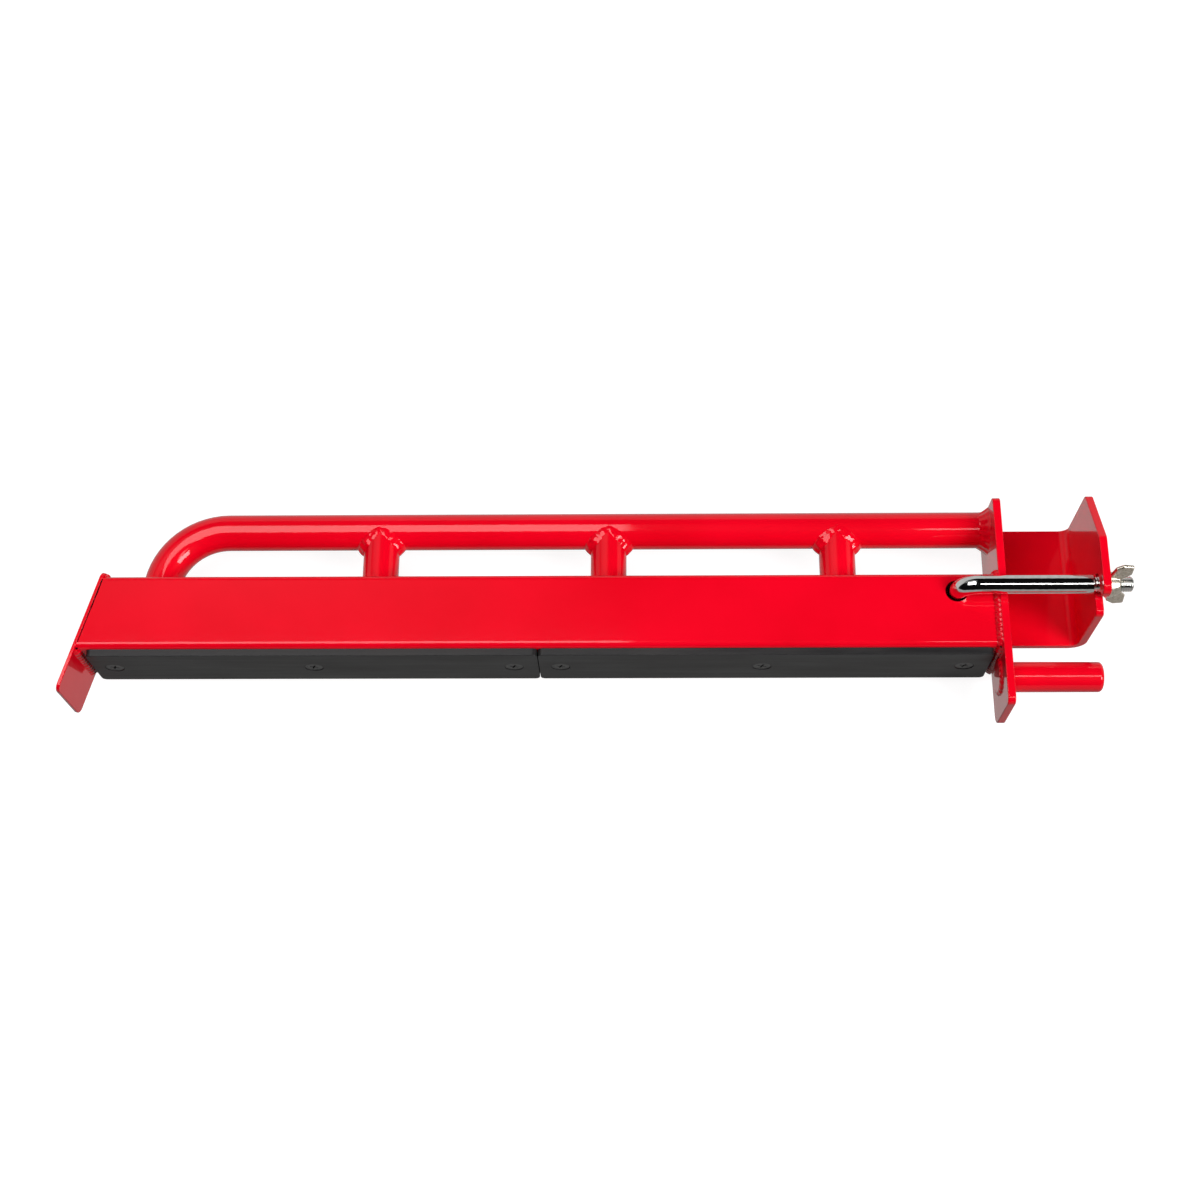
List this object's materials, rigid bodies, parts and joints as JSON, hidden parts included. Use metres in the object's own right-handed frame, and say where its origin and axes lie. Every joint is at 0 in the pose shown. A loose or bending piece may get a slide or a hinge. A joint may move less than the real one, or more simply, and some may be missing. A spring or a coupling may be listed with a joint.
{
  "type": "rack safety spotter arm",
  "caption": "Safety arm for a strength rack: lined square tube with a bent pipe truss, U bracket with peg, and a hook bolt with wing nut.",
  "frame": {"origin": "on the locating peg's axis, in the plane of the face that meets the upright", "axes": "+X along the peg into the upright, +Y from the liners towards the truss pipe, +Z out of the tube face that takes the hook bolt"},
  "size_m": [0.8651, 0.1855, 0.112],
  "materials": {
    "red_powder_coat": "gloss powder coat with light orange peel",
    "red_coated_weld": "gloss powder coat over a weld bead",
    "black_liner": "matte machined plastic sheet",
    "black_screw": "black oxide",
    "zinc_insert": "zinc plated",
    "chrome_rod": "polished chrome plate",
    "nickel_nut": "nickel plated casting"
  },
  "bodies": {
    "frame": {"main_tube": "red_powder_coat", "end_plate": "red_powder_coat", "truss_pipe": "red_powder_coat", "strut_outer": "red_powder_coat", "strut_middle": "red_powder_coat", "strut_inner": "red_powder_coat", "bracket": "red_powder_coat", "locating_peg": "red_powder_coat", "weld_strut_outer": "red_coated_weld", "weld_strut_middle": "red_coated_weld", "weld_strut_inner": "red_coated_weld", "weld_pipe_foot": "red_coated_weld", "weld_pipe_bracket": "red_coated_weld", "weld_tube_bracket": "red_coated_weld", "weld_end_plate": "red_coated_weld", "weld_peg": "red_coated_weld", "liner_outer": "black_liner", "liner_inner": "black_liner", "liner_screw_1": "black_screw", "liner_screw_2": "black_screw", "liner_screw_3": "black_screw", "liner_screw_4": "black_screw", "liner_screw_5": "black_screw", "liner_screw_6": "black_screw", "rivet_nut_1": "zinc_insert", "rivet_nut_2": "zinc_insert", "rivet_nut_3": "zinc_insert", "rivet_nut_4": "zinc_insert", "rivet_nut_5": "zinc_insert", "rivet_nut_6": "zinc_insert"},
    "hook_bolt": {"hook_bolt": "chrome_rod"},
    "wing_nut": {"wing_nut": "nickel_nut"}
  },
  "joints": [
    {"name": "wing_nut_spin", "type": "hinge", "parent": "frame", "child": "wing_nut", "pos_m": [0.0759, 0.065, 0.0392], "axis": [1, 0, 0], "range_deg": [0, 360]},
    {"name": "hook_bolt_draw", "type": "slide", "parent": "frame", "child": "hook_bolt", "axis": [-1, 0, 0], "range_m": [0, 0.00195]}
  ],
  "couplings": [
    {"joint": "wing_nut_spin", "follows": "hook_bolt_draw", "rad_per_m": 3222.1}
  ]
}
